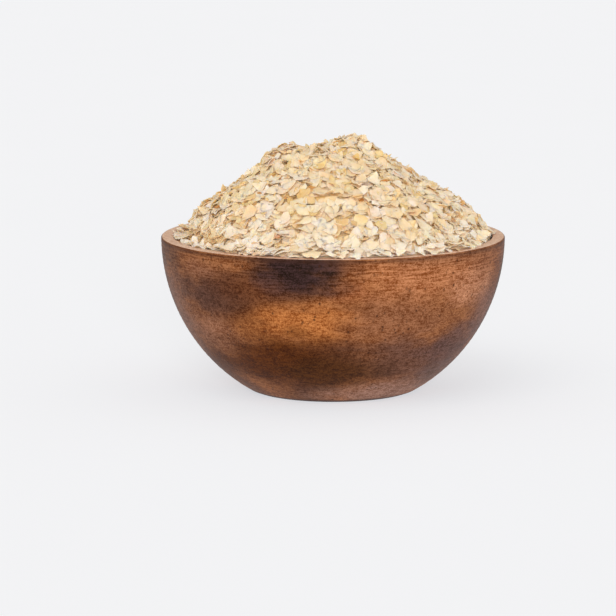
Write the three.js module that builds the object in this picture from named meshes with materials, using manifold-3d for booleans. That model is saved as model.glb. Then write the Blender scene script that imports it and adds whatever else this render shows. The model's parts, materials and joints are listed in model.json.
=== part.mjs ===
// A turned wooden bowl heaped with rice flakes. Millimetres, +Z up, and the origin is the
// centre of the bowl's flat foot.
import * as THREE from "three";
import { mergeVertices } from "three/addons/utils/BufferGeometryUtils.js";
import Module from "manifold-3d";

const wasm = await Module();
wasm.setup();

// The bowl. Its outside and its inside are each an ellipse centred at the height of the rim.
const RIM_RADIUS = 72.5;
const RIM_WIDTH = 5.5;
const RIM_ROUNDING = 0.9;
const BOWL_HEIGHT = 65.5;
const FOOT_RADIUS = 34.5;
const FLOOR_THICKNESS = 8;
const MOUTH_RADIUS = RIM_RADIUS - RIM_WIDTH;
const OUTER_DEPTH = BOWL_HEIGHT / Math.sqrt(1 - (FOOT_RADIUS / RIM_RADIUS) ** 2);
const INNER_DEPTH = OUTER_DEPTH - FLOOR_THICKNESS;
const BOWL_SIDES = 56;

// The heap. It fills the bowl and rises to a blunt cone with uneven shoulders.
const GAP = 0.3; // kept between the flakes and the wood
const HEAP_RISE = 41.6; // of the cone's tip above the rim
const HEAP_RADIUS = 68.3; // where the cone would reach the rim's height
const HEAP_CURVE = 1.62; // 1 is a straight-sided cone, 2 a dome
const CORE_DEPTH = 1.7; // how far the core lies under the flakes' outer surface
const CORE_SIDES = 28;
const CORE_RING = 11;
const CORE_RELIEF = 0.8;
// Swells and dips of the heap's surface, each a soft round bump: place, height and width.
const SWELLS = [
  { x: -22, y: 2, rise: 5, width: 6.5 },
  { x: -8, y: 0, rise: -3, width: 6.5 },
  { x: 7, y: 1, rise: 2, width: 9 },
  { x: 32, y: -2, rise: -1.4, width: 7 },
  { x: 57, y: -3, rise: 4.4, width: 9 },
  { x: -42, y: -24, rise: 1.8, width: 13 },
  { x: 18, y: -40, rise: 1.5, width: 15 },
  { x: 4, y: 36, rise: 2.4, width: 12 },
  { x: -30, y: 34, rise: -1.8, width: 13 },
  { x: 36, y: 32, rise: -1.5, width: 12 },
];

// The flakes: rice grains rolled flat, roundish, slightly dished and thinning to their edges.
const FLAKES = 336;
const FLAKE_THICKNESS = 0.8;
const FLAKE_SIDES = 6;
const LARGEST_FLAKE = 8.4;
const SMALLEST_FLAKE = 5;
const FLAKE_TILT = 0.4; // radians, the most that a flake leans from the heap's surface
const FLAKE_FALL = 6; // the most that a flake is let down onto what is under it
const FLAKE_DROP = 0.3; // at a time
const FLAKE_HOLD = 0.35; // cubic millimetres of a flake that end up inside what holds it
const FLAKE_REACH = 69; // from the bowl's axis, so that some lie out over the rim
const FLAKE_STRIDE = 113; // has no divisor in common with the number of flakes
const FLAKE_SHAKE = 3;
const FLAKE_SEED = 20;

// A repeatable stream of numbers from 0 to 1.
function randomStream(seed) {
  let state = seed;
  return () => {
    state = (state + 0x6d2b79f5) | 0;
    let mixed = Math.imul(state ^ (state >>> 15), 1 | state);
    mixed = (mixed + Math.imul(mixed ^ (mixed >>> 7), 61 | mixed)) ^ mixed;
    return ((mixed ^ (mixed >>> 14)) >>> 0) / 2 ** 32;
  };
}

function closedGeometry(geometry) {
  geometry.deleteAttribute("normal");
  geometry.deleteAttribute("uv");
  return mergeVertices(geometry);
}

function solidOf(geometry) {
  const vertProperties = new Float32Array(geometry.getAttribute("position").array);
  const triVerts = new Uint32Array(geometry.index.array);
  return new wasm.Manifold(new wasm.Mesh({ numProp: 3, vertProperties, triVerts }));
}

function geometryOf(solid) {
  const { vertProperties, triVerts } = solid.getMesh();
  const geometry = new THREE.BufferGeometry();
  geometry.setAttribute("position", new THREE.BufferAttribute(vertProperties, 3));
  geometry.setIndex(new THREE.BufferAttribute(triVerts, 1));
  geometry.computeVertexNormals();
  return geometry;
}

// LatheGeometry turns about Y, so its result is stood up along Z.
function turned(profile, sides) {
  return new THREE.LatheGeometry(profile, sides).rotateX(Math.PI / 2);
}

function wallRadius(halfWidth, depth, z) {
  return halfWidth * Math.sqrt(1 - ((BOWL_HEIGHT - z) / depth) ** 2);
}

function wallCurve(halfWidth, depth, fromZ, toZ, steps) {
  return Array.from({ length: steps + 1 }, (_, i) => {
    const z = THREE.MathUtils.lerp(fromZ, toZ, i / steps);
    return new THREE.Vector2(wallRadius(halfWidth, depth, z), z);
  });
}

function roundedEdge(x, z, radius, fromAngle, toAngle, steps) {
  return Array.from({ length: steps + 1 }, (_, i) => {
    const angle = THREE.MathUtils.lerp(fromAngle, toAngle, i / steps);
    return new THREE.Vector2(x + radius * Math.cos(angle), z + radius * Math.sin(angle));
  });
}

// The bowl's outline from the middle of the foot, up the outside, over the rim and down the inside.
// With room above 0, it is the outline of a bowl that much fatter on the side of the flakes.
function bowlProfile(room = 0) {
  const shoulder = BOWL_HEIGHT - RIM_ROUNDING;
  const mouth = MOUTH_RADIUS - room;
  const edge = RIM_ROUNDING;
  return [
    new THREE.Vector2(0, 0),
    ...wallCurve(RIM_RADIUS, OUTER_DEPTH, 0, shoulder, 9),
    ...roundedEdge(RIM_RADIUS - edge, shoulder + room, edge, 0.3, Math.PI / 2, 2),
    ...roundedEdge(mouth + edge, shoulder + room, edge, Math.PI / 2, Math.PI, 2),
    ...wallCurve(mouth, INNER_DEPTH, shoulder - 1, FLOOR_THICKNESS + room, 5),
    new THREE.Vector2(0, FLOOR_THICKNESS + room),
  ];
}

// The height of the flakes' outer surface above a point of the bowl's mouth.
function heapHeight(x, y) {
  const out = Math.hypot(x, y) / HEAP_RADIUS;
  const cone = HEAP_RISE * (1 - out ** HEAP_CURVE);
  const swell = SWELLS.reduce(
    (sum, s) => sum + s.rise * Math.exp(-((x - s.x) ** 2 + (y - s.y) ** 2) / (2 * s.width ** 2)),
    0,
  );
  return BOWL_HEIGHT + cone + swell * Math.max(0, 1 - out ** 8);
}

function heapNormal(x, y) {
  const step = 0.5;
  const slopeX = (heapHeight(x + step, y) - heapHeight(x - step, y)) / (2 * step);
  const slopeY = (heapHeight(x, y + step) - heapHeight(x, y - step)) / (2 * step);
  return new THREE.Vector3(-slopeX, -slopeY, 1).normalize();
}

// The packed flakes inside: the bowl's hollow with a gap, closed by an uneven surface on top.
function heapCore(random) {
  const mouth = MOUTH_RADIUS - GAP;
  const level = BOWL_HEIGHT - CORE_DEPTH;
  const topRings = Math.floor(mouth / CORE_RING);
  const profile = [
    new THREE.Vector2(0, FLOOR_THICKNESS + GAP),
    ...wallCurve(mouth, INNER_DEPTH, FLOOR_THICKNESS + GAP, level, 5),
    ...Array.from({ length: topRings }, (_, i) => new THREE.Vector2((topRings - i) * CORE_RING, level + 1)),
    new THREE.Vector2(0, level + 1),
  ];
  const geometry = closedGeometry(turned(profile, CORE_SIDES));
  const position = geometry.getAttribute("position");
  for (let i = 0; i < position.count; i++) {
    if (position.getZ(i) < level + 0.5) continue;
    const x = position.getX(i);
    const y = position.getY(i);
    const relief = CORE_RELIEF * (random() - 0.5);
    position.setZ(i, heapHeight(x, y) - CORE_DEPTH + relief);
  }
  return solidOf(geometry);
}

// One flake about its own centre: an uneven, slightly long round outline, dished in the middle.
function flakeGeometry(size, random) {
  const stretch = 0.72 + 0.24 * random();
  const dish = 0.08 * size * (0.3 + random());
  const outline = Array.from({ length: FLAKE_SIDES }, (_, i) => {
    const angle = ((i + 0.5 * (random() - 0.5)) / FLAKE_SIDES) * 2 * Math.PI;
    const radius = (size / 2) * (0.86 + 0.24 * random());
    const curl = 0.05 * size * (random() - 0.5);
    return new THREE.Vector3(radius * Math.cos(angle), stretch * radius * Math.sin(angle), curl);
  });
  const top = new THREE.Vector3(0, 0, -dish);
  const bottom = new THREE.Vector3(0, 0, -dish - FLAKE_THICKNESS);
  const faces = outline.flatMap((_, i) => {
    const next = (i + 1) % FLAKE_SIDES;
    return [i, next, FLAKE_SIDES, next, i, FLAKE_SIDES + 1];
  });
  return new THREE.BufferGeometry().setFromPoints([...outline, top, bottom]).setIndex(faces);
}

// Where flake i lies: the places of a sunflower's seeds, a little shaken and in a scattered order.
function flakePlace(i, random) {
  const seed = (i * FLAKE_STRIDE) % FLAKES;
  const angle = seed * Math.PI * (3 - Math.sqrt(5));
  const out = FLAKE_REACH * Math.sqrt((seed + 0.5) / FLAKES);
  const shaken = new THREE.Vector2(random() - 0.5, random() - 0.5).multiplyScalar(FLAKE_SHAKE);
  return shaken.add(new THREE.Vector2(out * Math.cos(angle), out * Math.sin(angle)));
}

// A flake above the heap, about as steep as the heap is there, or level by the rim.
function leaningFlake(place, size, random) {
  const level = THREE.MathUtils.smoothstep(place.length(), MOUTH_RADIUS - 6, MOUTH_RADIUS);
  const up = heapNormal(place.x, place.y).lerp(new THREE.Vector3(0, 0, 1), level);
  const lean = new THREE.Vector3(random() - 0.5, random() - 0.5, 0).multiplyScalar(2 * FLAKE_TILT);
  const normal = up.add(lean).normalize();
  const spin = new THREE.Quaternion().setFromAxisAngle(new THREE.Vector3(0, 0, 1), 2 * Math.PI * random());
  const stand = new THREE.Quaternion().setFromUnitVectors(new THREE.Vector3(0, 0, 1), normal);
  const matrix = new THREE.Matrix4().compose(
    new THREE.Vector3(place.x, place.y, heapHeight(place.x, place.y) + 1.5),
    stand.multiply(spin),
    new THREE.Vector3(1, 1, 1),
  );
  return flakeGeometry(size, random).applyMatrix4(matrix);
}

// The flake let down until enough of it is inside what lies under it, or nothing where it falls past.
function lowered(flake, under) {
  for (let drop = 0; drop < FLAKE_FALL; drop += FLAKE_DROP) {
    const solid = solidOf(flake);
    const held = under.reduce((sum, other) => sum + solid.intersect(other).volume(), 0);
    if (held > FLAKE_HOLD) return solid;
    flake.translate(0, 0, -FLAKE_DROP);
  }
  return undefined;
}

// The flakes that show, largest first. One that would touch the wood or fall is tried again further in.
function heapFlakes(core, random) {
  const wood = solidOf(closedGeometry(turned(bowlProfile(GAP), BOWL_SIDES)));
  const laid = [];
  for (let i = 0; i < FLAKES; i++) {
    const size = THREE.MathUtils.lerp(LARGEST_FLAKE, SMALLEST_FLAKE, i / FLAKES);
    for (const inwards of [1, 0.975, 0.95]) {
      const place = flakePlace(i, random).multiplyScalar(inwards);
      const near = laid.filter((other) => other.place.distanceTo(place) < 0.55 * (other.size + size));
      const solid = lowered(leaningFlake(place, size, random), [core, ...near.map((other) => other.solid)]);
      if (!solid?.intersect(wood).isEmpty()) continue;
      laid.push({ place, size, solid });
      break;
    }
  }
  return laid.map((flake) => flake.solid);
}

// One closed body: what fusing left loose or sealed inside is dropped.
function fused(pieces) {
  return wasm.Manifold.union(pieces)
    .decompose()
    .reduce((a, b) => (a.volume() > b.volume() ? a : b));
}

function heapGeometry() {
  const random = randomStream(FLAKE_SEED);
  const core = heapCore(random);
  return geometryOf(fused([core, ...heapFlakes(core, random)]));
}

function part(name, geometry, material) {
  const mesh = new THREE.Mesh(geometry, new THREE.MeshStandardMaterial(material));
  mesh.name = name;
  return mesh;
}

const STAINED_WOOD = { color: 0x7d4628, roughness: 0.55, metalness: 0 };
const RICE = { color: 0xe6d3ac, roughness: 0.75, metalness: 0 };

const heapedBowl = new THREE.Group();
heapedBowl.add(part("bowl", turned(bowlProfile(), BOWL_SIDES), STAINED_WOOD));
heapedBowl.add(part("rice_flakes", heapGeometry(), RICE));

export default heapedBowl;
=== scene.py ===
"""A turned wooden bowl heaped with rice flakes.

Lengths are millimetres until they reach a mesh, a node tree or the camera.
"""

import bpy
import json
import math
import numpy as np
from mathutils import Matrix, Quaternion, Vector

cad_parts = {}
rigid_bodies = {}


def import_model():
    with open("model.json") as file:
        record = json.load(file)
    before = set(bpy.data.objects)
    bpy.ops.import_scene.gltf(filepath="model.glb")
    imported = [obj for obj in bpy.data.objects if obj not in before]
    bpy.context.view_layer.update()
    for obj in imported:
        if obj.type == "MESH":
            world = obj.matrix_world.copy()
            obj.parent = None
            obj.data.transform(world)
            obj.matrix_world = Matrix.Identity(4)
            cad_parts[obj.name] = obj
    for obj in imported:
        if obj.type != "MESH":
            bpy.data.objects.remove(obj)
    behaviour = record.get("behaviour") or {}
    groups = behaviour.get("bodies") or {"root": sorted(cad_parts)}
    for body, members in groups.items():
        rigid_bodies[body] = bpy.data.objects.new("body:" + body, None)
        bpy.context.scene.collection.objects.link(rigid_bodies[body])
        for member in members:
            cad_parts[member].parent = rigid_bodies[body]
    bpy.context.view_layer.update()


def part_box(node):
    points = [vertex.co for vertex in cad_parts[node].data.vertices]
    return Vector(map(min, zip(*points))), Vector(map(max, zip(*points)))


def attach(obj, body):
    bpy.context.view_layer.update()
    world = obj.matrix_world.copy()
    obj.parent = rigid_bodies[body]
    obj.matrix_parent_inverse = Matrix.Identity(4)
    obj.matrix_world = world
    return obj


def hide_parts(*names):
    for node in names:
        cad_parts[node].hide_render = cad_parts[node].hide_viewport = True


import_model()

MM = 0.001


def frame_sizes(name):
    """A CAD node's lowest and highest corners, in millimetres."""
    low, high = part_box(name)
    return np.array(low) / MM, np.array(high) / MM


# The bowl. Its outside and its inside are each an ellipse centred at the rim's height.
bowl_low, bowl_high = frame_sizes("bowl")
RIM_RADIUS = (bowl_high[0] - bowl_low[0]) / 2
BOWL_HEIGHT = bowl_high[2]
RIM_WIDTH = 5.5
RIM_ROUNDING = 0.9
FOOT_RADIUS = 34.5
FOOT_ROUNDING = 0.7
FLOOR_THICKNESS = 8
MOUTH_RADIUS = RIM_RADIUS - RIM_WIDTH
OUTER_DEPTH = BOWL_HEIGHT / math.sqrt(1 - (FOOT_RADIUS / RIM_RADIUS) ** 2)
INNER_DEPTH = OUTER_DEPTH - FLOOR_THICKNESS
BOWL_SIDES = 192
OUTSIDE_STEPS = 64
INSIDE_STEPS = 30
ROUNDING_STEPS = 5
ROUNDING_START = 0.2  # radians, where the outer rounding's first point is, past the end of the wall
INSIDE_TOP = 1  # how far under the inner rounding the inside's first point is
RING_DEPTH = 0.035  # of the rings that the turning left
RING_SPACING = 1.7
RING_HEIGHTS = (1, 4)  # over which the rings begin

# The heap, near the form of the CAD node that it replaces: a blunt cone with swells and dips, each
# (x, y, rise, width).
HEAP_RISE = 41.6
HEAP_RADIUS = 68.3
HEAP_CURVE = 1.62
SWELLS = [
    (-22, 2, 5, 6.5),
    (-7, 0, -3.5, 6.5),
    (5, 1, 2.2, 7.5),
    (32, -2, -1.4, 7),
    (57, -3, 4.4, 9),
    (-42, -24, 1.8, 13),
    (18, -40, 1.5, 15),
    (4, 36, 2.4, 12),
    (-30, 34, -1.8, 13),
    (36, 32, -1.5, 12),
    (15, 0, 2.2, 5),
    (-58, 0, 3, 5),
]
SWELL_FADE = 8  # the power of the distance from the axis with which the swells fade
SINK = 0.75  # how far the loose flakes' mean surface lies under the heap's, as single edges stand out of it
SHELL = 4.5  # how deep the loose flakes lie over the core
WALL_DEPTH = 2.2  # how deep they lie by the wall, where few flakes find room
WALL_ZONE = (59, 66)  # the distances from the axis over which the first depth becomes the second
LOOSE_STEP = 59  # how far from the axis the loose flakes drop to the rim, on the left
CORE_STEP = 54  # how far from it the core does
STEP_WIDTH = 3
STEP_LEAVES = 0.4  # what the step leaves over the rim's height
STEP_ENDS = (36, 48)  # degrees round from the left, over which the step ends
GAP = 0.3  # kept between the flakes and the wood


# ---------------------------------------------------------------- helpers for node trees


def node(tree, kind, inputs=None, **settings):
    """A new node. An input's value is a number, a colour, or another node's output to link."""
    made = tree.nodes.new(kind)
    for name, value in settings.items():
        setattr(made, name, value)
    for key, value in (inputs or {}).items():
        if isinstance(value, bpy.types.NodeSocket):
            tree.links.new(value, made.inputs[key])
        else:
            made.inputs[key].default_value = value
    return made


def calc(tree, operation, a, b=0.0):
    return node(tree, "ShaderNodeMath", {0: a, 1: b}, operation=operation).outputs[0]


def times(tree, a, b):
    return calc(tree, "MULTIPLY", a, b)


def plus(tree, a, b):
    return calc(tree, "ADD", a, b)


def less(tree, a, b):
    return calc(tree, "SUBTRACT", a, b)


def scaled(tree, value, factor, start):
    """The value times a factor, plus a start."""
    return node(tree, "ShaderNodeMath", {0: value, 1: factor, 2: start}, operation="MULTIPLY_ADD").outputs[0]


def shared(tree, share, first, second):
    """A share of the first value and the rest of the second."""
    return plus(tree, times(tree, first, share), times(tree, second, 1 - share))


def between(tree, value, low, high):
    """0 before low, 1 past high, and a soft step from one to the other. Low may be the larger."""
    inputs = {"Value": value, "From Min": low, "From Max": high}
    return node(tree, "ShaderNodeMapRange", inputs, interpolation_type="SMOOTHSTEP").outputs["Result"]


def by_height(tree, height, heights):
    """A soft step from one height to another."""
    low, high = heights
    return between(tree, height, low * MM, high * MM)


def blended(tree, factor, a, b, how="MIX"):
    made = node(tree, "ShaderNodeMix", {0: factor, 6: a, 7: b}, data_type="RGBA", blend_type=how)
    return made.outputs[2]


def tinted(tree, tone, tint):
    return blended(tree, 1.0, tone, tint, "MULTIPLY")


def ramp(tree, value, low, high):
    """A colour for a value, blended from one (value, colour) to another."""
    made = node(tree, "ShaderNodeValToRGB", {"Fac": value})
    for element, (position, tone) in zip(made.color_ramp.elements, (low, high)):
        element.position = position
        element.color = tone
    return made.outputs["Color"]


def finer(tree, place, times_finer):
    """A place for a pattern that is so many times finer along X, Y and Z."""
    return node(tree, "ShaderNodeMapping", {"Vector": place, "Scale": times_finer}).outputs["Vector"]


def noise(tree, place, scale, along=None, detail=2.0, roughness=0.5, distortion=0.0):
    """Noise with about scale waves a metre, and so many times more along each axis where that is given."""
    if along:
        place = finer(tree, place, along)
    inputs = {"Vector": place, "Scale": scale, "Detail": detail, "Roughness": roughness}
    return node(tree, "ShaderNodeTexNoise", inputs | {"Distortion": distortion}).outputs["Fac"]


def noises(tree, place, patterns):
    """The noises of a table of patterns, by name."""
    return {name: noise(tree, place, **settings) for name, settings in patterns.items()}


def colour(red, green, blue):
    """A colour as seen on a screen, 0 to 255, in the linear values that shaders take."""
    shares = [part / 255 for part in (red, green, blue)]
    return tuple(s / 12.92 if s <= 0.04045 else ((s + 0.055) / 1.055) ** 2.4 for s in shares) + (1.0,)


def grey(share):
    return (share, share, share, 1)


def shader(name):
    """A new material, its node tree and its Principled shader."""
    material = bpy.data.materials.new(name)
    material.use_nodes = True
    return material, material.node_tree, material.node_tree.nodes["Principled BSDF"]


def own_place(tree):
    """Where a point of the surface is on its object."""
    return node(tree, "ShaderNodeTexCoord").outputs["Object"]


# ---------------------------------------------------------------- the wood

MAIN_RANGE = (0.36, 0.64)  # where most of a noise's values lie

# The stain between its clouds, darker and lighter, each (noise, colour).
BASE_DARK = (0.36, colour(92, 52, 32))
BASE_LIGHT = (0.64, colour(156, 92, 48))

# Clouds in the stain, and a few of painted shade, sheen and reflection: (degrees round from the front to the
# right, height), (half extents), colour, strength.
# They are laid in this order, so a later cloud covers an earlier one.
STAIN_AND_PAINTED_LIGHT_CLOUDS = [
    # The left side, dark halfway up and light under that, and the middle of the right side.
    ((-42, 47), (21, 13), colour(76, 46, 36), 0.9),
    ((-46, 30), (17, 9), colour(150, 98, 68), 0.75),
    # A painted sheen: a greyish tone on the left side.
    ((-74, 38), (14, 20), colour(106, 78, 66), 0.6),
    ((-30, 37), (15, 15), colour(112, 58, 20), 0.62),
    ((24, 38), (24, 13), colour(138, 84, 52), 0.85),
    ((-49, 58), (9, 4), colour(150, 94, 62), 0.5),
    ((-44, 41), (8, 4), colour(98, 58, 40), 0.35),
    ((-34, 33), (6, 5), colour(150, 86, 40), 0.4),
    # The bright middle of the front, and the dark to its left and under it.
    ((-11.5, 38.8), (19, 9.8), colour(176, 102, 48), 0.92),
    ((-38, 46), (12, 6.5), colour(70, 42, 32), 0.6),
    ((-27, 52), (20, 7), colour(84, 42, 22), 0.8),
    ((-19, 19.5), (40, 12), colour(68, 24, 0), 0.95),
    # The right side, light below the rim and dull lower down.
    ((36, 58), (32, 12), colour(178, 109, 65), 0.88),
    ((56, 50), (14, 9), colour(186, 122, 82), 0.75),
    ((33, 20), (37, 11), colour(92, 58, 44), 0.85),
    # A painted sheen: a greyish tone on the right side.
    ((70, 34), (14, 18), colour(108, 76, 66), 0.65),
    ((56, 24), (22, 10), colour(86, 58, 52), 0.7),
    # Light under the rim at the left, a painted reflection of the floor over the foot at the right, and the
    # dark lower front.
    ((-38, 62), (13, 4), colour(140, 84, 48), 0.7),
    ((30, 5), (40, 5.5), colour(150, 107, 84), 0.8),
    ((0, 16.5), (26, 9), colour(60, 26, 4), 0.88),
    # The black patch under the rim, what is round it, and a small shade in the bright middle.
    ((-1, 62.5), (10, 4), colour(104, 54, 34), 0.6),
    ((5, 52), (8, 5), colour(142, 78, 44), 0.5),
    ((-13, 34), (6, 3), colour(112, 58, 22), 0.75),
    ((-12.3, 60), (19, 11.5), colour(27, 20, 27), 0.97),
    ((-21, 54), (8, 4), colour(108, 68, 54), 0.2),
    ((9, 61), (6, 7), colour(132, 76, 42), 0.45),
    # Along the rim, and a painted shade down both sides of the bowl, where they turn away from the front.
    ((77, 54), (9, 12), colour(118, 58, 18), 0.5),
    ((46, 64), (34, 4), colour(136, 84, 52), 0.55),
    ((-72, 60), (12, 6), colour(84, 50, 32), 0.6),
    ((66, 60), (15, 7), colour(138, 80, 46), 0.65),
    ((62, 12), (20, 7), colour(92, 68, 60), 0.75),
    ((92, 42), (14, 34), colour(60, 48, 46), 0.75),
    ((-92, 45), (14, 30), colour(66, 50, 46), 0.6),
    # The back.
    ((130, 52), (22, 12), colour(58, 40, 36), 0.85),
    ((160, 34), (26, 12), colour(184, 108, 56), 0.8),
    ((-140, 56), (20, 9), colour(62, 42, 36), 0.85),
    ((-118, 30), (22, 12), colour(170, 104, 60), 0.7),
]
CLOUD_EDGE = (1.35, 0.35)  # from where a cloud starts to where it is whole, in half extents from its middle
CLOUD_WOBBLE = 1.3  # how much noise shifts that edge

# The patterns in the wood, as settings of noise().
WOOD_PATTERNS = {
    "drift": {"scale": 26, "detail": 3},
    "ragged": {"scale": 60, "along": (1, 1, 2.4), "detail": 4, "roughness": 0.6},
    "curls": {"scale": 840, "along": (1, 1, 1.5), "roughness": 0.6, "distortion": 1.2},
    "mottle": {"scale": 170, "along": (1, 1, 1.3), "detail": 3, "roughness": 0.6, "distortion": 0.6},
    "speckle": {"scale": 1900, "detail": 1, "roughness": 0.6},
    "lines": {"scale": 1500, "along": (0.05, 0.05, 1), "roughness": 0.7},
    "strokes": {"scale": 1250, "along": (0.3, 0.3, 1), "roughness": 0.6, "distortion": 0.5},
    "pitted": {"scale": 90},
}
# What lightens the wood: a pattern, the range of its noise from dark to light, and how much it adds.
LIGHTENING = [
    ("curls", (0.4, 0.6), 0.52),
    ("strokes", MAIN_RANGE, 0.32),
    ("mottle", MAIN_RANGE, 0.26),
    ("speckle", (0.4, 0.6), 0.34),
]
DARKENING = 0.2  # taken off the sum of these
DARK_TINT = (0.46, 0.33, 0.21, 1)  # what the stain's tone is multiplied with where the wood is dark
LIGHT_TINT = (1.22, 1.48, 1.95, 1)  # and where it is light,
LIGHT_EXTRA = (0.027, 0.01, 0.0025, 1)  # to which this is added
LINE_RANGE = (0.38, 0.62)
LINE_STRENGTH = 0.1  # of the fine lines left by the turning
MORE_BY_RIM = 0.5  # how much stronger they are below the rim
LINE_HEIGHTS = (44, 60)  # over which they become so

# Open pores, as small pits.
PIT_SCALE = 400.0
PITS_ALONG = (1, 1, 0.7)
PIT_EDGE = (0.26, 0.1)  # from a pit's edge to where it is darkest, in its cell
PITTED_RANGE = (0.44, 0.6)  # of the noise that says where the pits are
PIT_STRENGTH = 0.75
PIT_TONE = colour(58, 30, 20)

# The rim's flat top, bare of stain, the dark line where the stain begins under it, and a painted shade along
# the foot's bottom edge.
BARE_DARK = colour(202, 158, 132)
BARE_LIGHT = colour(244, 212, 186)
BARE_GRAIN = (0.25, 0.75)
BARE_FACING = (0.75, 0.96)  # how far up the bare wood faces: the Z of its normal
BARE_HEIGHTS = (60, 62)
LINE_FACING = (0.5, 0.1)
RIM_LINE_HEIGHTS = (62.8, 64.4)
RIM_LINE_STRENGTH = 0.5
RIM_LINE_TONE = colour(56, 32, 26)
# A painted shade along the foot's bottom edge.
FOOT_SHADE_HEIGHTS = (1.6, 0.7)
FOOT_SHADE_STRENGTH = 0.85
FOOT_SHADE_TONE = colour(52, 28, 26)

# The surface.
LEAST_ROUGHNESS = 0.4
MORE_ROUGHNESS = 0.2  # added by the mottle
LINE_RELIEF = 0.45
SPECKLE_RELIEF = 0.5
PIT_RELIEF = 0.8
WOOD_BUMP = 0.35
WOOD_BUMP_HEIGHT = 0.15


def cloud_share(tree, azimuth, height, cloud, wobble):
    """How much of a cloud there is at a place: its strength in the middle, and 0 outside it."""
    (middle_azimuth, middle_height), (half_azimuth, half_height), _, strength = cloud
    turned = less(tree, azimuth, math.radians(middle_azimuth))
    wrapped = calc(tree, "ARCTAN2", calc(tree, "SINE", turned), calc(tree, "COSINE", turned))
    across = calc(tree, "DIVIDE", wrapped, math.radians(half_azimuth))
    up = calc(tree, "DIVIDE", less(tree, height, middle_height * MM), half_height * MM)
    square = plus(tree, times(tree, across, across), times(tree, up, up))
    uneven = plus(tree, calc(tree, "SQRT", square), wobble)
    return times(tree, between(tree, uneven, *CLOUD_EDGE), strength)


def stain(tree, azimuth, height, pattern):
    """The tone from the stain's base and its clouds, a few of which are painted shade, sheen and reflection.
    """
    tone = ramp(tree, pattern["drift"], BASE_DARK, BASE_LIGHT)
    wobble = times(tree, less(tree, pattern["ragged"], 0.5), CLOUD_WOBBLE)
    for cloud in STAIN_AND_PAINTED_LIGHT_CLOUDS:
        tone = blended(tree, cloud_share(tree, azimuth, height, cloud, wobble), tone, cloud[2])
    return tone


def grained(tree, tone, height, pattern):
    """The tone with light curls, strokes and speckles, and fine lines round the bowl."""
    lights = [times(tree, between(tree, pattern[name], *span), share) for name, span, share in LIGHTENING]
    light = lights[0]
    for more in lights[1:]:
        light = plus(tree, light, more)
    line_share = scaled(tree, by_height(tree, height, LINE_HEIGHTS), MORE_BY_RIM, LINE_STRENGTH)
    streak = times(tree, less(tree, between(tree, pattern["lines"], *LINE_RANGE), 0.5), line_share)
    light = plus(tree, less(tree, light, DARKENING), streak)
    lit = blended(tree, 1.0, tinted(tree, tone, LIGHT_TINT), LIGHT_EXTRA, "ADD")
    return blended(tree, light, tinted(tree, tone, DARK_TINT), lit)


def pores(tree, place, pattern):
    """Open pores: small pits, in some places more than in others. 1 in a pit's middle."""
    cells = node(tree, "ShaderNodeTexVoronoi", {"Vector": finer(tree, place, PITS_ALONG), "Scale": PIT_SCALE})
    pit = between(tree, cells.outputs["Distance"], *PIT_EDGE)
    return times(tree, pit, between(tree, pattern["pitted"], *PITTED_RANGE))


def edged(tree, tone, height, pattern):
    """The tone with the rim's flat top bare of stain, a dark line under the rim and a painted shade at the
    foot's bottom edge.
    """
    normal = node(tree, "ShaderNodeNewGeometry").outputs["Normal"]
    facing_up = node(tree, "ShaderNodeSeparateXYZ", {"Vector": normal}).outputs["Z"]
    top = times(tree, between(tree, facing_up, *BARE_FACING), by_height(tree, height, BARE_HEIGHTS))
    bare = blended(tree, between(tree, pattern["curls"], *BARE_GRAIN), BARE_DARK, BARE_LIGHT)
    tone = blended(tree, top, tone, bare)
    line = times(tree, by_height(tree, height, RIM_LINE_HEIGHTS), between(tree, facing_up, *LINE_FACING))
    tone = blended(tree, times(tree, line, RIM_LINE_STRENGTH), tone, RIM_LINE_TONE)
    # Painted shade along the foot's bottom edge, darkest at the floor.
    foot = by_height(tree, height, FOOT_SHADE_HEIGHTS)
    return blended(tree, times(tree, foot, FOOT_SHADE_STRENGTH), tone, FOOT_SHADE_TONE)


def stained_wood_with_painted_light():
    """Turned hardwood under a dark stain, with light flecks, fine lines and open pores, and with painted
    shade, sheen and reflection on its sides and foot.
    """
    material, tree, principled = shader("bowl_wood")
    place = own_place(tree)
    parts = node(tree, "ShaderNodeSeparateXYZ", {"Vector": place}).outputs
    azimuth = calc(tree, "ARCTAN2", parts["X"], times(tree, parts["Y"], -1.0))
    height = parts["Z"]
    pattern = noises(tree, place, WOOD_PATTERNS)

    tone = grained(tree, stain(tree, azimuth, height, pattern), height, pattern)
    pit = pores(tree, place, pattern)
    tone = blended(tree, times(tree, pit, PIT_STRENGTH), tone, PIT_TONE)
    tone = edged(tree, tone, height, pattern)

    rough = scaled(tree, pattern["mottle"], MORE_ROUGHNESS, LEAST_ROUGHNESS)
    line_relief = times(tree, pattern["lines"], LINE_RELIEF)
    speckle_relief = times(tree, pattern["speckle"], SPECKLE_RELIEF)
    relief = less(tree, plus(tree, line_relief, speckle_relief), times(tree, pit, PIT_RELIEF))
    inputs = {"Height": relief, "Strength": WOOD_BUMP, "Distance": WOOD_BUMP_HEIGHT * MM}
    bump = node(tree, "ShaderNodeBump", inputs)
    tree.links.new(tone, principled.inputs["Base Color"])
    tree.links.new(rough, principled.inputs["Roughness"])
    tree.links.new(bump.outputs["Normal"], principled.inputs["Normal"])
    principled.inputs["Specular IOR Level"].default_value = 0.1
    principled.inputs["Specular Tint"].default_value = (1.0, 0.7, 0.36, 1.0)
    return material


# ---------------------------------------------------------------- the rice

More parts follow.
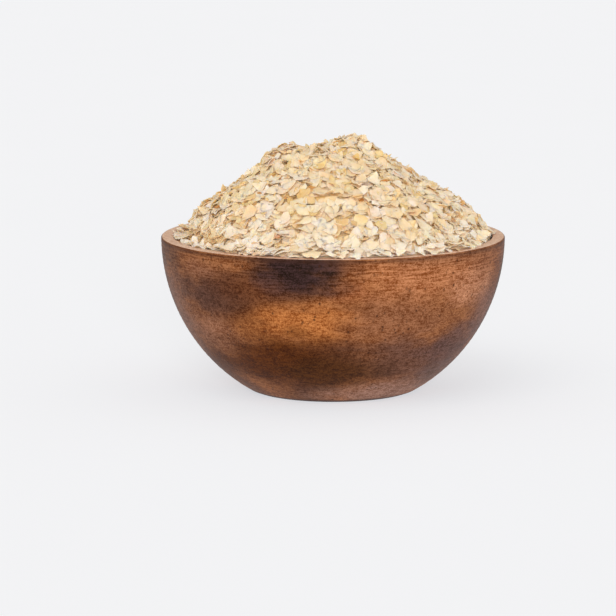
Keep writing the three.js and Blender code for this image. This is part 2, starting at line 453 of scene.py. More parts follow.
# The patterns in the flakes, as settings of noise().
RICE_PATTERNS = {
    "cloudy": {"scale": 320, "detail": 3, "roughness": 0.6},
    "blotches": {"scale": 330},
    "drift": {"scale": 105, "detail": 1},
    "fibres": {"scale": 1900},
    "patches": {"scale": 260},
}
CLOUDY_RANGE = (0.3, 0.7)
DEPTH_RANGE = (0.1, 0.9)
DEPTH_BY_FLAKE = 0.6  # the share of a tone's depth that is the flake's own, the rest being clouds in it
HUE_BY_FLAKE = 0.7  # the share of a hue that is the flake's own, the rest being blotches
PINKISH = (1.0, 0.955, 0.99, 1)  # a flake's tone is multiplied with its hue, which lies from here
YELLOWISH = (0.985, 0.99, 0.86, 1)  # to here,
WARM_DRIFT = (1.0, 0.965, 0.88, 1)  # and with its place's in the heap, from here
PALE_DRIFT = (1.0, 1.03, 1.1, 1)  # to here,
LEAST_FIBRE, MORE_FIBRE = 0.92, 0.16  # and with a noise like fibres, the least and what is added
EDGE_RANGE = (0.45, 1.0)  # of the way out from a flake's middle
PATCH_RANGE = (0.46, 0.68)  # of the noise that leaves out parts of an edge
LOW_PAINTED_LIGHT_TONE = colour(254, 238, 222)  # painted light: the heap is painted paler low down
LOW_PAINTED_LIGHT_SHARE = 0.4
LOW_PAINTED_LIGHT_RANGE = (15, 1)  # from where it starts to turn paler to where it is palest, over the rim's height
DEPTH_SHADE_TONE = colour(232, 186, 122)  # painted shade: flakes further in are painted warmer and darker
DEPTH_SHADE_SHARE = 0.65
DEPTH_SHADE_RANGE = (0.25, 0.8)
RICE_BUMP = 0.5
RICE_BUMP_HEIGHT = 0.25
RICE_GLOW_DEPTH = 0.9  # how deep light goes into a flake

# A finish for each kind of flake and for the core: its name, its pale and deep tones, the tone of its edges
# and how strongly they take it.
WHITE_EDGE = colour(252, 239, 222)
TAN_EDGE = colour(226, 178, 118)
ORANGE_EDGE = colour(188, 116, 54)
FINISHES = {
    "whole_flakes": ("rice_cream", colour(248, 226, 204), colour(240, 208, 170), TAN_EDGE, 0.25),
    "broken_flakes": ("rice_pale", colour(249, 228, 205), colour(241, 214, 180), WHITE_EDGE, 0.4),
    "golden_flakes": ("rice_golden", colour(242, 211, 164), colour(232, 192, 135), TAN_EDGE, 0.5),
    "bran_flakes": ("rice_bran", colour(232, 188, 130), colour(184, 118, 60), ORANGE_EDGE, 0.6),
    "crumbs": ("rice_crumb", colour(249, 229, 200), colour(242, 207, 155), ORANGE_EDGE, 0.2),
    # The core's tones are darker and warmer than the flakes': painted shade in the gaps between them.
    "packed_core": ("rice_core_painted_shade", colour(238, 204, 154), colour(212, 162, 104), TAN_EDGE, 0.0),
}


def flake_value(tree, name):
    """A value that a flake carries, or that its shape does."""
    return node(tree, "ShaderNodeAttribute", attribute_name=name).outputs["Fac"]


def rice(name, pale, deep, edge_tone, edge_share):
    """Rolled rice: its tone varies from flake to flake, within each and over the heap, and at its edges, with
    a painted shade on flakes further in and painted light low on the heap.
    """
    material, tree, principled = shader(name)
    place = own_place(tree)
    pattern = noises(tree, place, RICE_PATTERNS)

    clouds = between(tree, pattern["cloudy"], *CLOUDY_RANGE)
    depth = shared(tree, DEPTH_BY_FLAKE, flake_value(tree, "tone"), clouds)
    tone = blended(tree, between(tree, depth, *DEPTH_RANGE), pale, deep)

    blotches = between(tree, pattern["blotches"], *MAIN_RANGE)
    hue = shared(tree, HUE_BY_FLAKE, flake_value(tree, "hue"), blotches)
    tone = tinted(tree, tone, blended(tree, hue, PINKISH, YELLOWISH))
    drift = between(tree, pattern["drift"], *MAIN_RANGE)
    tone = tinted(tree, tone, blended(tree, drift, WARM_DRIFT, PALE_DRIFT))

    height = node(tree, "ShaderNodeSeparateXYZ", {"Vector": place}).outputs["Z"]
    # Painted light: the heap is painted paler low down.
    low = by_height(tree, height, [BOWL_HEIGHT + over for over in LOW_PAINTED_LIGHT_RANGE])
    tone = blended(tree, times(tree, low, LOW_PAINTED_LIGHT_SHARE), tone, LOW_PAINTED_LIGHT_TONE)
    tone = tinted(tree, tone, scaled(tree, pattern["fibres"], MORE_FIBRE, LEAST_FIBRE))

    patches = between(tree, pattern["patches"], *PATCH_RANGE)
    at_edge = times(tree, between(tree, flake_value(tree, "rim"), *EDGE_RANGE), patches)
    tone = blended(tree, times(tree, at_edge, edge_share), tone, edge_tone)
    # Painted shade: flakes further in are painted warmer and darker.
    buried = between(tree, flake_value(tree, "buried"), *DEPTH_SHADE_RANGE)
    tone = blended(tree, times(tree, buried, DEPTH_SHADE_SHARE), tone, DEPTH_SHADE_TONE)

    inputs = {"Height": pattern["cloudy"], "Strength": RICE_BUMP, "Distance": RICE_BUMP_HEIGHT * MM}
    bump = node(tree, "ShaderNodeBump", inputs)
    tree.links.new(tone, principled.inputs["Base Color"])
    tree.links.new(bump.outputs["Normal"], principled.inputs["Normal"])
    principled.inputs["Roughness"].default_value = 0.6
    principled.inputs["Specular IOR Level"].default_value = 0.3
    principled.inputs["Subsurface Weight"].default_value = 0.65
    principled.inputs["Subsurface Radius"].default_value = (1.0, 0.8, 0.55)
    principled.inputs["Subsurface Scale"].default_value = RICE_GLOW_DEPTH * MM
    return material


# ---------------------------------------------------------------- the bowl


def arc(x, z, radius, from_angle, to_angle, steps):
    """Points on an arc round (x, z)."""
    angles = np.linspace(from_angle, to_angle, steps + 1)
    return np.column_stack([x + radius * np.cos(angles), z + radius * np.sin(angles)])


def wall(half_width, depth, from_height, to_height, steps):
    """Points on one side of an ellipse that is centred at the rim's height, from one height to another."""
    heights = np.linspace(from_height, to_height, steps + 1)
    return np.column_stack([half_width * np.sqrt(1 - ((BOWL_HEIGHT - heights) / depth) ** 2), heights])


def bowl_section():
    """Half of the bowl's outline, from the middle of its floor, over the rim, to the middle of its foot."""
    shoulder = BOWL_HEIGHT - RIM_ROUNDING
    quarter, half = math.pi / 2, math.pi
    outer_middle, inner_middle = RIM_RADIUS - RIM_ROUNDING, MOUTH_RADIUS + RIM_ROUNDING
    from_foot = np.vstack([
        [(0, 0), (FOOT_RADIUS / 2, 0), (FOOT_RADIUS - FOOT_ROUNDING, 0)],
        wall(RIM_RADIUS, OUTER_DEPTH, FOOT_ROUNDING, shoulder, OUTSIDE_STEPS),
        arc(outer_middle, shoulder, RIM_ROUNDING, ROUNDING_START, quarter, ROUNDING_STEPS),
        arc(inner_middle, shoulder, RIM_ROUNDING, quarter, half, ROUNDING_STEPS),
        wall(MOUTH_RADIUS, INNER_DEPTH, shoulder - INSIDE_TOP, FLOOR_THICKNESS, INSIDE_STEPS),
        [(0, FLOOR_THICKNESS)],
    ])
    return from_foot[::-1]


def tree_with_sockets(name, inputs, output):
    """A new geometry tree with inputs, each a name and a type, and one output of geometry."""
    tree = bpy.data.node_groups.new(name, "GeometryNodeTree")
    for title, kind in inputs.items():
        tree.interface.new_socket(title, in_out="INPUT", socket_type="NodeSocket" + kind)
    tree.interface.new_socket(output, in_out="OUTPUT", socket_type="NodeSocketGeometry")
    return tree, node(tree, "NodeGroupInput").outputs


def vector_scaled(tree, vector, factor):
    return node(tree, "ShaderNodeVectorMath", {0: vector, "Scale": factor}, operation="SCALE").outputs[0]


POINT_RADIUS = 0.001  # of the circle that the section is swept round, as good as a point
SAME_PLACE = 0.005  # how near each other points are merged


def turning_tree(material):
    """Turns a section, drawn in X and -Y, about the axis, and cuts faint rings in it as a gouge does."""
    inputs = {"Section": "Geometry", "Sides": "Int", "Ring depth": "Float", "Ring spacing": "Float"}
    tree, given = tree_with_sockets("turned", inputs, "Turned")
    inputs = {"Resolution": given["Sides"], "Radius": POINT_RADIUS * MM}
    circle = node(tree, "GeometryNodeCurvePrimitiveCircle", inputs).outputs["Curve"]
    section = node(tree, "GeometryNodeMeshToCurve", {"Mesh": given["Section"]}).outputs["Curve"]
    swept = node(tree, "GeometryNodeCurveToMesh", {"Curve": circle, "Profile Curve": section}).outputs["Mesh"]
    whole = node(tree, "GeometryNodeMergeByDistance", {"Geometry": swept, "Distance": SAME_PLACE * MM})

    place = node(tree, "GeometryNodeInputPosition").outputs[0]
    height = node(tree, "ShaderNodeSeparateXYZ", {"Vector": place}).outputs["Z"]
    turns = calc(tree, "DIVIDE", times(tree, height, math.tau), given["Ring spacing"])
    depth = times(tree, calc(tree, "SINE", turns), given["Ring depth"])
    offset = vector_scaled(tree, node(tree, "GeometryNodeInputNormal").outputs[0], depth)
    offset = vector_scaled(tree, offset, by_height(tree, height, RING_HEIGHTS))
    cut = node(tree, "GeometryNodeSetPosition", {"Geometry": whole.outputs["Geometry"], "Offset": offset})

    smooth = node(tree, "GeometryNodeSetShadeSmooth", {0: cut.outputs["Geometry"]})
    painted = node(tree, "GeometryNodeSetMaterial", {"Geometry": smooth.outputs[0], "Material": material})
    node(tree, "NodeGroupOutput", {"Turned": painted.outputs["Geometry"]})
    return tree


def placed(name, data):
    """A new object in the scene."""
    made = bpy.data.objects.new(name, data)
    bpy.context.scene.collection.objects.link(made)
    return made


def grown(name, mesh, tree, **values):
    """The plain mesh object that a geometry tree makes of a mesh. The values are for the tree's inputs."""
    base = placed(name + "_base", mesh)
    modifier = base.modifiers.new("tree", "NODES")
    modifier.node_group = tree
    sockets = {item.name: item.identifier for item in tree.interface.items_tree if item.in_out == "INPUT"}
    for key, value in values.items():
        modifier[sockets[key.replace("_", " ")]] = value
    depsgraph = bpy.context.evaluated_depsgraph_get()
    made = bpy.data.meshes.new_from_object(base.evaluated_get(depsgraph), depsgraph=depsgraph)
    bpy.data.objects.remove(base)
    made.name = name
    return placed(name, made)


def make_bowl():
    points = bowl_section() * MM
    mesh = bpy.data.meshes.new("section")
    edges = [(i, i + 1) for i in range(len(points) - 1)]
    mesh.from_pydata([(radius, -height, 0) for radius, height in points], edges, [])
    tree = turning_tree(stained_wood_with_painted_light())
    rings = {"Ring_depth": RING_DEPTH * MM, "Ring_spacing": RING_SPACING * MM}
    bowl = grown("wooden_bowl", mesh, tree, Sides=BOWL_SIDES, **rings)
    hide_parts("bowl")
    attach(bowl, "root")


# ---------------------------------------------------------------- the heap's surfaces and its core


def heap_height(x, y):
    """The height of the flakes' outer surface above a point."""
    out = np.hypot(x, y) / HEAP_RADIUS
    height = HEAP_RISE * (1 - out**HEAP_CURVE)
    for middle_x, middle_y, rise, width in SWELLS:
        near = np.exp(-((x - middle_x) ** 2 + (y - middle_y) ** 2) / (2 * width**2))
        height = height + rise * near * np.clip(1 - out**SWELL_FADE, 0, None)
    return BOWL_HEIGHT + height


def loose_surface(x, y, step=LOOSE_STEP):
    """The loose flakes' mean surface. On the left it drops to the rim early, and leaves it bare."""
    height = heap_height(x, y) - SINK
    past_step = np.clip((np.hypot(x, y) - step) / STEP_WIDTH, 0, 1)
    from_left = np.degrees(np.arctan2(np.abs(y), -x))
    whole, ended = STEP_ENDS
    on_left = np.clip((ended - from_left) / (ended - whole), 0, 1)
    return height - past_step * on_left * np.clip(height - BOWL_HEIGHT - STEP_LEAVES, 0, None)


def core_surface(x, y):
    """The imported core's top, under the loose flakes."""
    start, end = WALL_ZONE
    by_wall = np.clip((np.hypot(x, y) - start) / (end - start), 0, 1)
    return loose_surface(x, y, CORE_STEP) - SHELL + (SHELL - WALL_DEPTH) * by_wall


CORE_SIDES = 96
CORE_RINGS = 40
CORE_WALL_STEPS = 20
LUMP_HEIGHT = 0.5
LUMP_WAVES = (0.9, 0.8)  # radians a millimetre, along X and along Y
LUMP_BENDS = ((1.7, 0.5), (1, 0.6))  # how far each wave is bent, and the radians a millimetre of the bends


def core_lumps(x, y):
    """The unevenness of the core's top."""
    (far_x, wave_x), (far_y, wave_y) = LUMP_BENDS
    along_x = LUMP_WAVES[0] * x + far_x * math.sin(wave_x * y)
    along_y = LUMP_WAVES[1] * y + far_y * math.sin(wave_y * x)
    return LUMP_HEIGHT * math.sin(along_x) * math.sin(along_y)


def make_core(finish):
    """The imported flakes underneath: the bowl's hollow with a gap, closed by the heap's surface, lowered."""
    mouth = MOUTH_RADIUS - GAP
    bottom = FLOOR_THICKNESS + GAP
    inside = wall(mouth, INNER_DEPTH, bottom, BOWL_HEIGHT - WALL_DEPTH, CORE_WALL_STEPS)
    top = [(mouth * i / CORE_RINGS, None) for i in range(CORE_RINGS - 1, 0, -1)]
    rings = [*inside, *top]
    vertices = [(0, 0, bottom)]
    for radius, height in rings:
        for side in range(CORE_SIDES):
            angle = math.tau * side / CORE_SIDES
            x, y = radius * math.cos(angle), radius * math.sin(angle)
            vertices.append((x, y, core_surface(x, y) + core_lumps(x, y) if height is None else height))
    vertices.append((0, 0, core_surface(0, 0)))
    faces = []
    for side in range(CORE_SIDES):
        following = (side + 1) % CORE_SIDES
        faces.append((0, 1 + following, 1 + side))
        for ring in range(len(rings) - 1):
            a, b = 1 + ring * CORE_SIDES, 1 + (ring + 1) * CORE_SIDES
            faces.append((a + side, a + following, b + following, b + side))
        last = 1 + (len(rings) - 1) * CORE_SIDES
        faces.append((last + side, last + following, len(vertices) - 1))
    mesh = bpy.data.meshes.new("packed_core")
    mesh.from_pydata([Vector(vertex) * MM for vertex in vertices], [], faces)
    mesh.shade_smooth()
    mesh.materials.append(finish)
    return placed("packed_core", mesh)


# ---------------------------------------------------------------- the flakes

# One flake's shape, for a flake 1 across: two faces, each of a rim, a ring inside it and a middle.
RIM_POINTS = 14
RING_POINTS = 7
RING_OUT = 0.55  # how far out the ring is
FLAKE_THICKNESS = 0.055
THICKNESS_SPREAD = (0.8, 1.2)
RIM_THIN, RING_THIN = 0.45, 0.95  # the share of the middle's thickness that is left there
ANGLE_SHAKE = 0.3  # of the rim's points, in steps from one to the next
ROUND_WAVES = (2, 3, 4, 5)  # waves round the rim that make it uneven
POINT_SHAKE = 0.55  # of each point in or out, for a raggedness of 1
WIDTHS = (0.68, 0.95)  # for a length of 1
CHIP_SPREAD = (0.7, 1.3)
CHIP_CUT = 0.92  # the share of what is past a chip that is gone
WAVE_DEPTHS = (0.05, 0.26)
WAVE_NUMBERS = (2, 5)  # at least the first, and fewer than the second
BEND = 0.85  # at most, either way
DISH = 0.4  # at most
CREASE = math.radians(50)  # edges sharper than this stay sharp


def flake_outline(rng, ragged, chips):
    """An uneven round with straight chips off its edge, and the ring and the middle inside it."""
    steps = np.arange(RIM_POINTS) + rng.uniform(-ANGLE_SHAKE, ANGLE_SHAKE, RIM_POINTS)
    angles = steps * math.tau / RIM_POINTS
    waves = sum(ragged / k * np.cos(k * angles + rng.uniform(0, math.tau)) for k in ROUND_WAVES)
    radii = (1 + waves) / 2
    radii *= 1 + rng.normal(0, POINT_SHAKE * ragged, RIM_POINTS)
    rim = np.column_stack([radii * np.cos(angles), rng.uniform(*WIDTHS) * radii * np.sin(angles)])
    for depth in chips:
        angle = rng.uniform(0, math.tau)
        outward = np.array([math.cos(angle), math.sin(angle)])
        over = np.clip(rim @ outward - (0.5 - depth * rng.uniform(*CHIP_SPREAD)), 0, None)
        rim -= CHIP_CUT * over[:, None] * outward
    rim -= rim.mean(0)
    return np.vstack([rim, RING_OUT * rim[::2], [(0, 0)]])


def flake_faces(count):
    """The faces of a flake whose first count points are its top's and whose others are its bottom's."""
    faces = []
    for i in range(RIM_POINTS):
        j = (i + 1) % RIM_POINTS
        faces.append((count + i, count + j, j, i))
    for k in range(RING_POINTS):
        a, b, c = 2 * k, 2 * k + 1, (2 * k + 2) % RIM_POINTS
        inner, after = RIM_POINTS + k, RIM_POINTS + (k + 1) % RING_POINTS
        upper = [(a, b, inner), (b, after, inner), (b, c, after), (inner, after, count - 1)]
        faces += upper + [tuple(count + v for v in reversed(face)) for face in upper]
    return faces


def by_part(rim, ring, middle):
    """A value for each point of a flake's face."""
    return np.array([rim] * RIM_POINTS + [ring] * RING_POINTS + [middle])


def flake_shape(name, rng, ragged, chips, finish):
    """One flake: its outline bent, dished and wavy."""
    outline = flake_outline(rng, ragged, chips)
    x, y = outline[:, 0], outline[:, 1]
    out = np.hypot(x, y)
    axis = rng.uniform(0, math.pi)
    across = x * math.cos(axis) + y * math.sin(axis)
    wave_depth = rng.uniform(*WAVE_DEPTHS)
    wave = wave_depth * np.sin(rng.integers(*WAVE_NUMBERS) * np.arctan2(y, x) + rng.uniform(0, math.tau))
    lift = rng.uniform(-BEND, BEND) * across**2 + rng.uniform(0, DISH) * out**2 + wave * out
    thick = FLAKE_THICKNESS * rng.uniform(*THICKNESS_SPREAD) * by_part(RIM_THIN, RING_THIN, 1.0)
    top = np.column_stack([outline, lift + thick / 2])
    bottom = np.column_stack([outline, lift - thick / 2])
    mesh = bpy.data.meshes.new(name)
    mesh.from_pydata(np.vstack([top, bottom]).tolist(), [], flake_faces(len(outline)))
    mesh.shade_smooth()
    mesh.set_sharp_from_angle(angle=CREASE)
    mesh.materials.append(finish)
    way_out = np.tile(by_part(1.0, 0.5, 0.0), 2)
    mesh.attributes.new("rim", "FLOAT", "POINT").data.foreach_set("value", way_out)
    return mesh


def flake_shapes(name, rng, ragged, chips, finish):
    """A collection of different flakes to strew."""
    shapes = bpy.data.collections.new(name)
    for i in range(SHAPES_A_KIND):
        title = f"{name}_{i:02d}"
        shapes.objects.link(bpy.data.objects.new(title, flake_shape(title, rng, ragged, chips, finish)))
    return shapes


def strewing_tree():
    """Puts a flake on each point, turned and sized by the point's attributes."""
    inputs = {"Places": "Geometry", "Shapes": "Collection", "Finish": "Material"}
    tree, given = tree_with_sockets("strewn", inputs, "Strewn")

    def stored(name, kind):
        made = node(tree, "GeometryNodeInputNamedAttribute", {"Name": name}, data_type=kind)
        return made.outputs["Attribute"]

    inputs = {"Collection": given["Shapes"], "Separate Children": True, "Reset Children": True}
    shapes = node(tree, "GeometryNodeCollectionInfo", inputs)
    turn = node(tree, "FunctionNodeEulerToRotation", {"Euler": stored("turn", "FLOAT_VECTOR")})
    laid = node(tree, "GeometryNodeInstanceOnPoints", {
        "Points": given["Places"],
        "Instance": shapes.outputs["Instances"],
        "Pick Instance": True,
        "Instance Index": stored("shape", "INT"),
        "Rotation": turn.outputs["Rotation"],
        "Scale": stored("size", "FLOAT_VECTOR"),
    })
    real = node(tree, "GeometryNodeRealizeInstances", {"Geometry": laid.outputs["Instances"]})
    inputs = {"Geometry": real.outputs["Geometry"], "Material": given["Finish"]}
    painted = node(tree, "GeometryNodeSetMaterial", inputs)
    node(tree, "NodeGroupOutput", {"Strewn": painted.outputs["Geometry"]})
    return tree


# The kinds of flake: share of all, (smallest, largest), raggedness, and the depths of the chips off the edge,
# for a flake 1 across.
KINDS = {
    "whole_flakes": (0.4, (5.2, 8.2), 0.16, (0.16, 0.12)),
    "broken_flakes": (0.33, (4.2, 7.4), 0.2, (0.42, 0.18, 0.14)),
    "golden_flakes": (0.1, (4.8, 7.4), 0.18, (0.2, 0.14)),
    "bran_flakes": (0.08, (2.4, 4.6), 0.2, (0.3, 0.2)),
    "crumbs": (0.09, (2.2, 4.2), 0.2, (0.3, 0.2)),
}
SHAPES_A_KIND = 20
FLAKES = 5740
SEED = 41

# How a flake finds its place.
CELL = 0.5  # of the grid that holds the heap's height as it grows
GRID_REACH = 80  # from the axis
SPOTS = 10  # places looked at for each flake, of which the lowest-lying is taken
TRIES = 8  # goes at finding a place where a flake can lie
FOOTPRINT = 0.45  # radius of the round that a flake 1 across takes up
OVERHANG = 0.62  # how near the rim's outer edge a flake's middle may lie, in such radii
LEAST_COVER = 0.75  # the share of that round that has to have something under it
REFUSAL = 0.4  # how much fuller a place counts as after a flake found no hold there
REFUSAL_CELLS = 2  # how far that reaches

# How it lies there.
LEVEL_SHARE = 0.24  # of the flakes, that lie nearer to level than the heap's side
LEVEL_FALL = (0.1, 0.6)  # how much of the side's slope these follow
USUAL_FALL = (0.8, 1.15)  # and the others
LEAN = math.radians(9)  # spread of a flake's lean from the way it would lie
STEEP_SHARE = 0.13  # of the flakes, that stand far more steeply
STEEP_LEAN = math.radians(36)
OTHER_WAYS = ((0.8, 0.4), (0.1, 0.4))  # shares of slope and of lean to try where a flake would stand out
STEEPEST = 1.6
PRESS = 0.45  # the share of a flake's underside that isn't sunk in the flakes under it
PROUD = 2.4  # how far an edge may stand over the surface that the flakes should reach
PROUD_MEAN = 0.3  # how far a flake may on average
WOOD_REACH = 0.8  # the share of a flake's radius that may not sink into the wood
WOOD_GAP = 0.05

# How flakes lie by the rim, by degrees round from the front to the right: how far out, and how thick. They
# lie on it at the front, at the far left and at the back.
RIM_ZONES = [
    (-180, 69, 2),
    (-130, 69, 2),
    (-116, 70, 1.4),
    (-96, 70, 1.2),
    (-86, 66.5, 0.8),
    (-54, 66.5, 0.8),
    (-38, 72, 3.2),
    (50, 72, 3.4),
    (62, 68, 1.8),
    (80, 66.2, 0.8),
    (100, 67.5, 1.2),
    (130, 69, 2),
    (180, 69, 2),
]
RIM_LAYER_START = 3  # how far inside the mouth the layer on the rim begins
MOUTH_LAYER = 0.3  # how far over the rim's height the flakes reach inside that
THINNING = (-0.8, 4.2)  # how far in from the outer edge the layer would be gone, and from where it is whole
THINNEST = 0.5  # the share of the layer that is left at least


class Pile:
    """The heap's height on a grid, growing as flakes are laid on it."""

    def __init__(self):
        self.side = np.arange(-GRID_REACH, GRID_REACH + CELL, CELL)
        x, y = np.meshgrid(self.side, self.side, indexing="ij")
        out = np.hypot(x, y)
        azimuths, reaches, covers = zip(*RIM_ZONES)
        self.reaches = azimuths, reaches
        gone, whole = THINNING
        thinning = np.clip((RIM_RADIUS - gone - out) / (whole - gone), THINNEST, 1)
        rim_layer = np.interp(np.degrees(np.arctan2(x, -y)), azimuths, covers) * thinning
        layer = np.where(out > MOUTH_RADIUS - RIM_LAYER_START, rim_layer, MOUTH_LAYER)
        self.target = np.maximum(loose_surface(x, y), BOWL_HEIGHT + layer)
        self.height = np.where(out < MOUTH_RADIUS, core_surface(x, y), -np.inf)
        self.wood = (out >= MOUTH_RADIUS - GAP) & (out <= RIM_RADIUS)
        self.height[self.wood] = BOWL_HEIGHT + WOOD_GAP
        self.refused = np.zeros_like(out)

    def cell(self, value):
        return int(round((value - self.side[0]) / CELL))

    def room(self, x, y):
        """How far the flakes are below the surface that they should reach, less where one found no hold."""
        i, j = self.cell(x), self.cell(y)
        return self.target[i, j] - self.height[i - 1:i + 2, j - 1:j + 2].mean() - self.refused[i, j]

    def lowest_spot(self, radius, rng):
        """Of a few places picked at random where the rim would hold the flake, the one with the most room."""
        azimuth = rng.uniform(-180, 180, SPOTS)
        out = np.interp(azimuth, *self.reaches) * np.sqrt(rng.random(SPOTS))
        out = np.minimum(out, RIM_RADIUS - OVERHANG * radius)
        spots = zip(out * np.sin(np.radians(azimuth)), -out * np.cos(np.radians(azimuth)))
        return max(spots, key=lambda spot: self.room(*spot))

    def lay(self, x, y, radius, thickness, rng):
        """Rests a flake on what is there.

        Gives the height of its middle and its normal, or None where it can't lie.
        """
        reach = int(math.ceil(radius / CELL))
        i, j = self.cell(x), self.cell(y)
        patch = (slice(i - reach, i + reach + 1), slice(j - reach, j + reach + 1))
        under, wood = self.height[patch], self.wood[patch]
        dx = self.side[patch[0]][:, None] - x + np.zeros_like(under)
        dy = self.side[patch[1]][None, :] - y + np.zeros_like(under)
        covered = (dx**2 + dy**2 < radius**2) & np.isfinite(under)
        if covered.sum() > LEAST_COVER * math.pi * (radius / CELL) ** 2:
            px, py, pz = dx[covered], dy[covered], under[covered]
            spread = radius**2 / 4  # the mean of px**2 over the whole round
            fall = np.array([((pz - pz.mean()) * px).mean(), ((pz - pz.mean()) * py).mean()]) / spread
            ease = rng.uniform(*LEVEL_FALL) if rng.random() < LEVEL_SHARE else rng.uniform(*USUAL_FALL)
            lean = STEEP_LEAN if rng.random() < STEEP_SHARE else LEAN
            # As it falls, or with less lean, or lying almost level: the first way that keeps it in the heap.
            for share_of_fall, share_of_lean in ((ease, 1), *OTHER_WAYS):
                slope = fall * share_of_fall + rng.normal(0, math.tan(lean), 2) * share_of_lean
                slope_x, slope_y = (float(part) for part in np.clip(slope, -STEEPEST, STEEPEST))
                clear = pz - slope_x * px - slope_y * py
                middle = np.quantile(clear, PRESS)
                on_wood = wood[covered] & (px**2 + py**2 < (WOOD_REACH * radius) ** 2)
                if on_wood.any():
                    middle = max(middle, clear[on_wood].max())
                over = middle + slope_x * dx + slope_y * dy + thickness
                above = (over - self.target[patch])[covered]
                if above.mean() < PROUD_MEAN and above.max() < PROUD:
                    self.height[patch] = np.where(covered, np.maximum(under, over), under)
                    return middle + thickness / 2, Vector((-slope_x, -slope_y, 1)).normalized()
        around = REFUSAL_CELLS
        self.refused[i - around:i + around + 1, j - around:j + around + 1] += REFUSAL
        return None


def settled_flakes(rng):
    """Lays the flakes one after another.

    Gives for each kind its rows of place, turn, size, shape, tone, hue and how deep it is buried.
    """
    pile = Pile()
    names = list(KINDS)
    shares = np.array([KINDS[name][0] for name in names])
    rows = {name: [] for name in names}
    for _ in range(FLAKES):
        kind = names[rng.choice(len(names), p=shares)]
        size = rng.uniform(*KINDS[kind][1])
        radius = FOOTPRINT * size
        for _ in range(TRIES):
            x, y = pile.lowest_spot(radius, rng)
            resting = pile.lay(x, y, radius, FLAKE_THICKNESS * size, rng) if pile.room(x, y) > 0 else None
            if resting:
                break
        else:
            continue
        height, normal = resting
        buried = min(max(float(loose_surface(x, y)) - height, 0) / SHELL, 1)
        spin = Quaternion((0, 0, 1), rng.uniform(0, math.tau))
        flip = Quaternion((1, 0, 0), math.pi * rng.integers(2))
        turn = (Vector((0, 0, 1)).rotation_difference(normal) @ spin @ flip).to_euler()
        place, scale = (x, y, height), (size, size, size)
        rows[kind].append((place, tuple(turn), scale, rng.integers(SHAPES_A_KIND), *rng.random(2), buried))
    return rows


def places_mesh(rows):
    """Points with the attributes that the strewing tree reads."""
    place, turn, size, shape, *tones = (np.array(column) for column in zip(*rows))
    mesh = bpy.data.meshes.new("places")
    mesh.from_pydata((place * MM).tolist(), [], [])
    mesh.attributes.new("turn", "FLOAT_VECTOR", "POINT").data.foreach_set("vector", turn.ravel())
    mesh.attributes.new("size", "FLOAT_VECTOR", "POINT").data.foreach_set("vector", (size * MM).ravel())
    mesh.attributes.new("shape", "INT", "POINT").data.foreach_set("value", shape)
    for name, values in zip(("tone", "hue", "buried"), tones):
        mesh.attributes.new(name, "FLOAT", "POINT").data.foreach_set("value", values)
    return mesh


def make_heap():
    rng = np.random.default_rng(SEED)
    finishes = {name: rice(*settings) for name, settings in FINISHES.items()}
    strewn = strewing_tree()
    pieces = [make_core(finishes["packed_core"])]
    rows = settled_flakes(rng)
    for kind, (_, _, ragged, chips) in KINDS.items():
        finish = finishes[kind]
        shapes = flake_shapes(kind, rng, ragged, chips, finish)
        pieces.append(grown(kind, places_mesh(rows[kind]), strewn, Shapes=shapes, Finish=finish))
        for shape in list(shapes.objects):
            bpy.data.objects.remove(shape)
        bpy.data.collections.remove(shapes)
    for piece in pieces:
        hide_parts("rice_flakes")
        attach(piece, "root")


# ---------------------------------------------------------------- floor, light and camera

IMAGE_SIDE = 616  # pixels
AXIS_PIXEL = (333, 311.2)  # where the middle of the bowl's height is in the photograph
CAMERA_DISTANCE = 1500
CAMERA_RISE = math.radians(9.2)
FOCAL_PIXELS = 3540
SENSOR = 36
VIEW_REACH = 100000

FLOOR_REACH = 9000
FLOOR_SCALE = 9
FLOOR_DARK = (0, grey(0.372))  # the floor's own tone is very faintly uneven, each (noise, colour)
FLOOR_LIGHT = (1, grey(0.38))
FLOOR_GLOW = 0.655  # the share of the floor's brightness that no shadow takes away
FLOOR_GLOW_TONE = colour(242, 244, 249)

BACKDROP = colour(243, 243, 243)
BACKDROP_RADIUS = 8000
BACKDROP_SIDES = 48
BACKDROP_RINGS = 24

SKY_HEIGHTS = (-0.1, 1.0)  # from just under the horizon to straight up
SKY_LOW = (0, (0.62, 0.6, 0.57, 1))
SKY_HIGH = (1, (1.0, 0.955, 0.885, 1))
SKY_STRENGTH = 0.63
# The lamps: name, strength, how many degrees wide, and the direction to it.
LAMPS = [
    ("key", 0.7, 50, (-0.3, -0.75, 0.85)),
    ("front", 1.65, 16, (0.08, -1, 0.2)),
]


def make_floor():
    """A plain floor, just bright enough to blend into the backdrop."""
    material, tree, principled = shader("floor")
    faint = ramp(tree, noise(tree, own_place(tree), FLOOR_SCALE), FLOOR_DARK, FLOOR_LIGHT)
    tree.links.new(faint, principled.inputs["Base Color"])
    principled.inputs["Roughness"].default_value = 1.0
    principled.inputs["Specular IOR Level"].default_value = 0.0
    principled.inputs["Emission Color"].default_value = FLOOR_GLOW_TONE
    principled.inputs["Emission Strength"].default_value = FLOOR_GLOW
    mesh = bpy.data.meshes.new("floor")
    reach = FLOOR_REACH * MM
    corners = [(-reach, -reach, 0), (reach, -reach, 0), (reach, reach, 0), (-reach, reach, 0)]
    mesh.from_pydata(corners, [], [(0, 1, 2, 3)])
    mesh.materials.append(material)
    placed("floor", mesh)


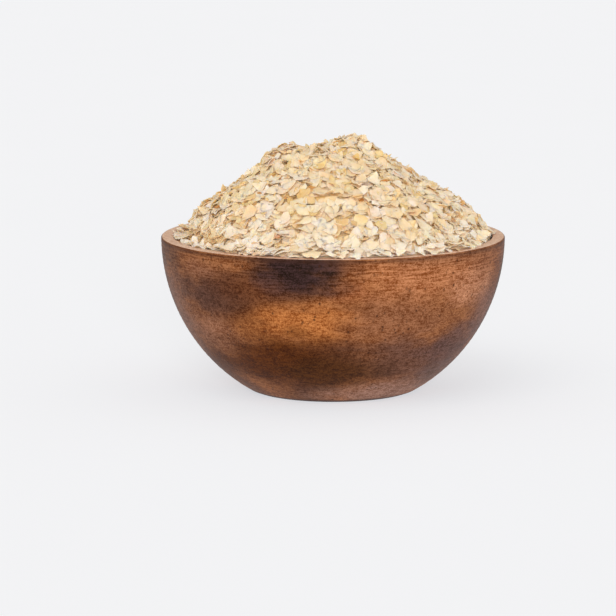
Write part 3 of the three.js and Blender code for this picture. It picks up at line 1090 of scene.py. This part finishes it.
def make_backdrop():
    """A pale dome round it all that only the camera sees, about as bright as the floor."""
    size = {"segments": BACKDROP_SIDES, "ring_count": BACKDROP_RINGS, "radius": BACKDROP_RADIUS * MM}
    bpy.ops.mesh.primitive_uv_sphere_add(**size)
    dome = bpy.context.object
    dome.name = "backdrop"
    material = bpy.data.materials.new("backdrop")
    material.use_nodes = True
    tree = material.node_tree
    tree.nodes.remove(tree.nodes["Principled BSDF"])
    glow = node(tree, "ShaderNodeEmission", {"Color": BACKDROP, "Strength": 1.0})
    tree.links.new(glow.outputs[0], tree.nodes["Material Output"].inputs["Surface"])
    dome.data.materials.append(material)
    for ray in ("diffuse", "glossy", "transmission", "volume_scatter", "shadow"):
        setattr(dome, "visible_" + ray, False)


def make_light():
    """Soft light from all over the sky, a wide lamp from the upper left and a narrower one from the front."""
    world = bpy.data.worlds.new("studio")
    bpy.context.scene.world = world
    world.use_nodes = True
    tree = world.node_tree
    direction = node(tree, "ShaderNodeTexCoord").outputs["Generated"]
    up = node(tree, "ShaderNodeSeparateXYZ", {"Vector": direction}).outputs["Z"]
    sky = ramp(tree, between(tree, up, *SKY_HEIGHTS), SKY_LOW, SKY_HIGH)
    tree.links.new(sky, tree.nodes["Background"].inputs["Color"])
    tree.nodes["Background"].inputs["Strength"].default_value = SKY_STRENGTH
    for name, strength, width, aim in LAMPS:
        lamp = bpy.data.lights.new(name, "SUN")
        lamp.energy = strength
        lamp.angle = math.radians(width)
        sun = placed(name, lamp)
        sun.rotation_euler = Vector(aim).to_track_quat("Z", "Y").to_euler()


def make_camera():
    """The photograph's view, at the bowl's front and a little from above."""
    lens = bpy.data.cameras.new("camera")
    lens.sensor_width = SENSOR
    lens.lens = SENSOR * FOCAL_PIXELS / IMAGE_SIDE
    lens.shift_x = (IMAGE_SIDE / 2 - AXIS_PIXEL[0]) / IMAGE_SIDE
    lens.shift_y = (AXIS_PIXEL[1] - IMAGE_SIDE / 2) / IMAGE_SIDE
    lens.clip_end = VIEW_REACH * MM
    camera = placed("camera", lens)
    aim = Vector((0, 0, BOWL_HEIGHT / 2)) * MM
    away = Vector((0, -math.cos(CAMERA_RISE), math.sin(CAMERA_RISE)))
    camera.location = aim + away * CAMERA_DISTANCE * MM
    camera.rotation_euler = away.to_track_quat("Z", "Y").to_euler()
    bpy.context.scene.camera = camera
    bpy.context.scene.view_settings.view_transform = "Standard"


make_camera()
make_bowl()
make_heap()
make_floor()
make_backdrop()
make_light()
